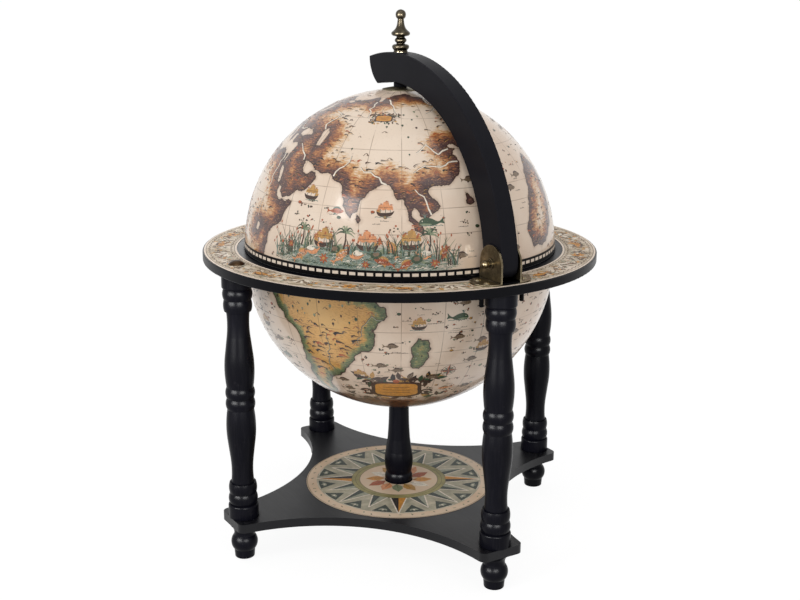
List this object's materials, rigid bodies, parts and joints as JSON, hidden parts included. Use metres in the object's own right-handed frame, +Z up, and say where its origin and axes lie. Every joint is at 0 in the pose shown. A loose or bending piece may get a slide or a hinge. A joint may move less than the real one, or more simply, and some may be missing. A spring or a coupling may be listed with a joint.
{
  "type": "floor globe bar",
  "caption": "Floor-standing bar globe: the upper half hinges open on a curved arm over a bowl with a bottle rack, held in a flat ring on turned legs above a concave-sided base shelf.",
  "frame": {"origin": "on the floor under the polar axis", "axes": "+Z up along the polar axis, +X towards the hinge and the arm, legs on the X and Y axes"},
  "size_m": [0.5329, 0.533, 0.7171],
  "materials": {
    "black_paint": "satin black paint over turned wood and board",
    "rack_board": "dark satin paint over board",
    "globe_print": "glossy varnished print over pressed board",
    "paper_print": "varnished printed paper",
    "antique_brass": "antique bronzed brass",
    "plain_brass": "turned brass",
    "zinc_steel": "zinc plated",
    "nylon": "black nylon",
    "felt": "black felt"
  },
  "bodies": {
    "stand": {"base_plate": "black_paint", "foot_1": "black_paint", "foot_2": "black_paint", "foot_3": "black_paint", "foot_4": "black_paint", "leg_1": "black_paint", "leg_2": "black_paint", "leg_3": "black_paint", "leg_4": "black_paint", "pillar": "black_paint", "horizon_ring": "black_paint", "lower_rim_hoop": "black_paint", "bottle_rack": "rack_board", "bottle_floor": "rack_board", "lower_hemisphere": "globe_print", "ring_print": "paper_print", "base_print": "paper_print", "hinge_bracket_left": "antique_brass", "hinge_bracket_right": "antique_brass", "bracket_screws": "antique_brass", "hinge_bolt": "antique_brass", "hinge_nut": "antique_brass", "ring_bolts": "antique_brass", "foot_studs": "zinc_steel", "hinge_leg_screw": "zinc_steel", "pillar_rod": "zinc_steel", "pillar_washers": "zinc_steel", "pillar_nuts": "zinc_steel", "hoop_screws": "zinc_steel", "hinge_washers": "nylon"},
    "arm": {"meridian_arm": "black_paint", "arm_bush": "plain_brass", "finial": "antique_brass", "pole_rod": "zinc_steel", "pole_collar": "black_paint", "pole_washer": "zinc_steel", "pole_nut": "zinc_steel"},
    "lid": {"upper_hemisphere": "globe_print", "upper_rim_hoop": "black_paint", "rim_felt": "felt", "equator_band": "paper_print", "pole_cap": "antique_brass", "pole_bush": "plain_brass"}
  },
  "joints": [
    {"name": "lid_hinge", "type": "hinge", "parent": "stand", "child": "arm", "pos_m": [0.23848, 0, 0.4269], "axis": [0, 1, 0], "range_deg": [0, 100]},
    {"name": "lid_spin", "type": "hinge", "parent": "arm", "child": "lid", "pos_m": [0, 0, 0.6], "axis": [0, 0, 1], "continuous": true}
  ]
}
